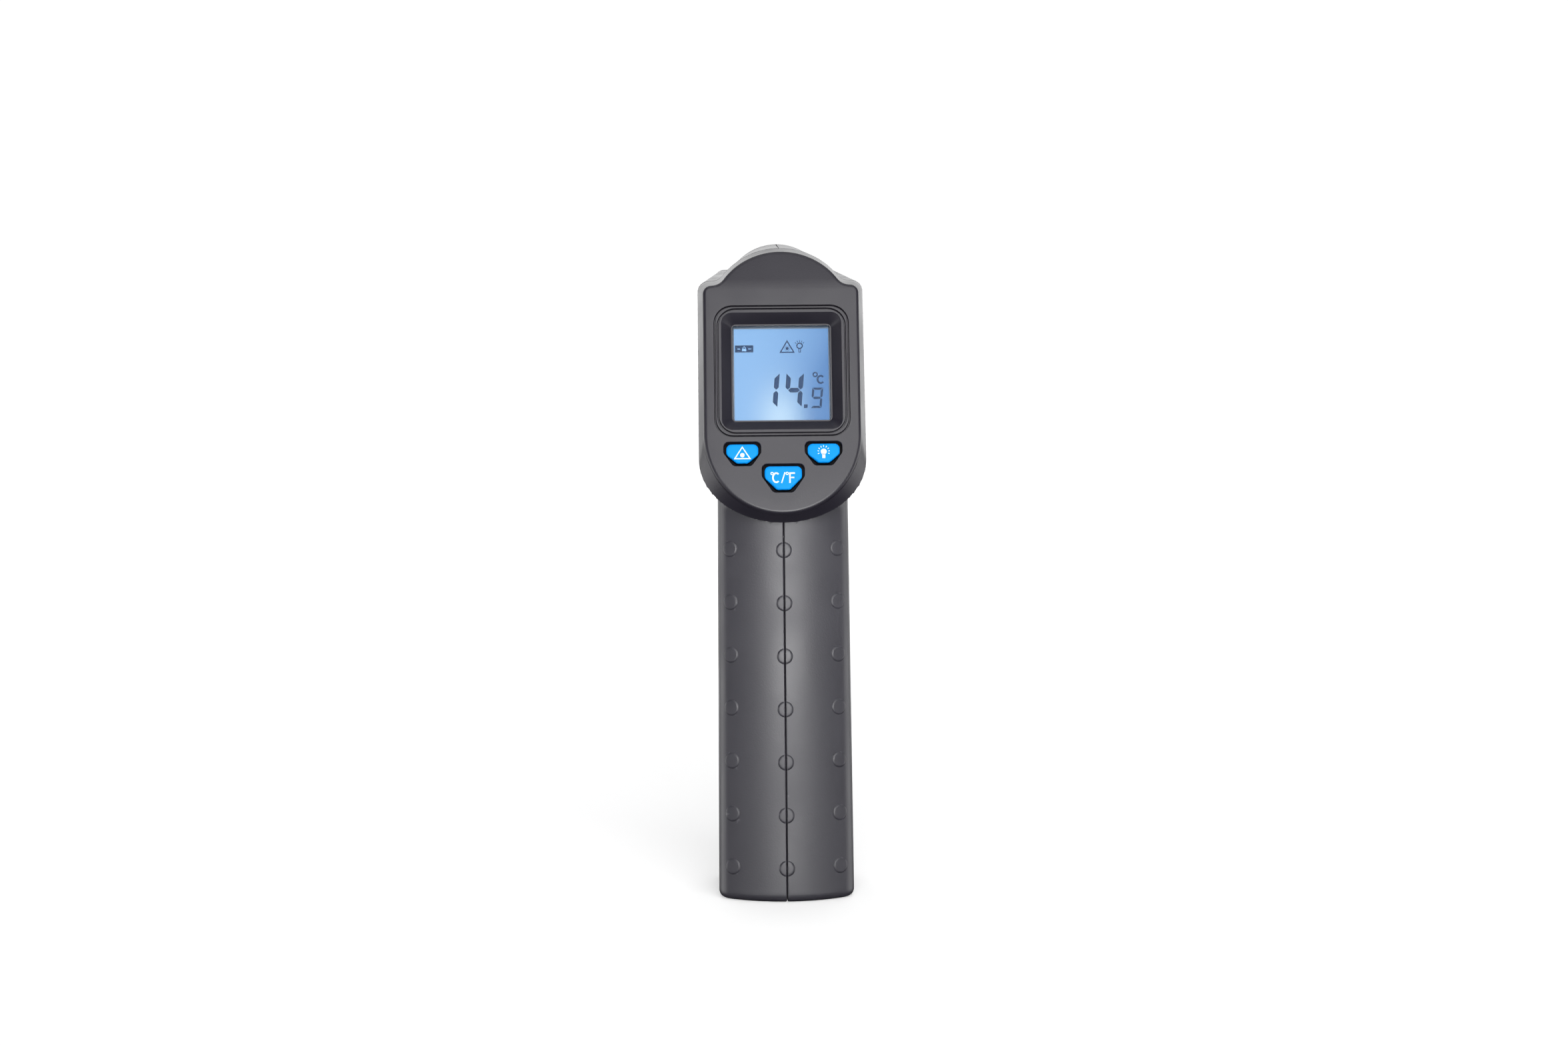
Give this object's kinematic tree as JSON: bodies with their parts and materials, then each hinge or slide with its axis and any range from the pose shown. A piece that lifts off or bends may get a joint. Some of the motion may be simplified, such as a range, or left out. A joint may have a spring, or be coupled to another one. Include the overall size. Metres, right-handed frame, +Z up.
{
  "type": "infrared thermometer",
  "caption": "Pistol-grip infrared thermometer with a tilted square display, panel keys, a trigger and a hinged battery door in the grip.",
  "frame": {"origin": "middle of the bounding box's floor, in the plane of the grip's flat heel", "axes": "+Z up the grip, -Y towards the muzzle, +Y towards the display, +X to the holder's left"},
  "size_m": [0.0414, 0.082, 0.16],
  "materials": {
    "shell": "satin",
    "cover": "satin",
    "black_plastic": "satin",
    "key_rubber": "satin",
    "trigger_plastic": "satin",
    "window": "gloss",
    "lcd": "gloss",
    "light_guide": "gloss",
    "white_plastic": "satin",
    "elastomer": "matte",
    "circuit_board": "satin",
    "steel": "satin",
    "brass": "satin",
    "lens": "satin",
    "red_window": "gloss",
    "ribbon": "gloss",
    "red_wire": "satin",
    "black_wire": "satin",
    "plunger": "satin",
    "battery_jacket": "satin",
    "foam": "matte"
  },
  "bodies": {
    "housing": {"left_shell": "shell", "right_shell": "shell", "rear_cover": "cover", "nose_bezel": "black_plastic", "display_window": "window", "lcd_cell": "lcd", "lcd_frame": "white_plastic", "backlight_guide": "light_guide", "backlight_leds": "white_plastic", "zebra_strip": "elastomer", "main_board": "circuit_board", "key_switches": "black_plastic", "controller_chip": "black_plastic", "buzzer": "black_plastic", "sensor_tube": "black_plastic", "lens": "lens", "lens_ring": "black_plastic", "thermopile": "steel", "sensor_board": "circuit_board", "sensor_ribbon": "ribbon", "laser_module": "brass", "laser_window": "red_window", "laser_lead": "red_wire", "switch_board": "circuit_board", "trigger_switch": "black_plastic", "trigger_pin": "steel", "trigger_spring": "steel", "battery": "battery_jacket", "battery_terminals": "steel", "battery_snap": "black_plastic", "lead_red": "red_wire", "lead_black": "black_wire", "shell_screws": "steel", "board_screws": "steel"},
    "trigger": {"trigger": "trigger_plastic"},
    "switch_plunger": {"switch_plunger": "plunger"},
    "battery_door": {"battery_door": "shell", "battery_pad": "foam"},
    "laser_key": {"laser_key": "key_rubber", "laser_plunger": "plunger"},
    "unit_key": {"unit_key": "key_rubber", "unit_plunger": "plunger"},
    "backlight_key": {"backlight_key": "key_rubber", "backlight_plunger": "plunger"}
  },
  "joints": [
    {"name": "trigger_pull", "type": "hinge", "parent": "housing", "child": "trigger", "pos_m": [0, -0.006, 0.121], "axis": [1, 0, 0], "range_deg": [0, 6], "stiffness_Nm_per_rad": 0.4, "springref_deg": -5.73, "deforming": ["trigger_spring"]},
    {"name": "plunger_press", "type": "slide", "parent": "housing", "child": "switch_plunger", "axis": [0, 1, 0], "range_m": [0, 0.0017]},
    {"name": "door_swing", "type": "hinge", "parent": "housing", "child": "battery_door", "pos_m": [0, 0.01033, 0.0075], "axis": [1, 0, 0], "range_deg": [0, 80]},
    {"name": "laser_key_press", "type": "slide", "parent": "housing", "child": "laser_key", "axis": [0, -0.9511, -0.309], "range_m": [0, 0.0005], "stiffness_N_per_m": 2000, "springref_m": -0.0005},
    {"name": "unit_key_press", "type": "slide", "parent": "housing", "child": "unit_key", "axis": [0, -0.9511, -0.309], "range_m": [0, 0.0005], "stiffness_N_per_m": 2000, "springref_m": -0.0005},
    {"name": "backlight_key_press", "type": "slide", "parent": "housing", "child": "backlight_key", "axis": [0, -0.9511, -0.309], "range_m": [0, 0.0005], "stiffness_N_per_m": 2000, "springref_m": -0.0005}
  ],
  "couplings": [
    {"joint": "plunger_press", "follows": "trigger_pull", "m_per_rad": 0.016}
  ]
}
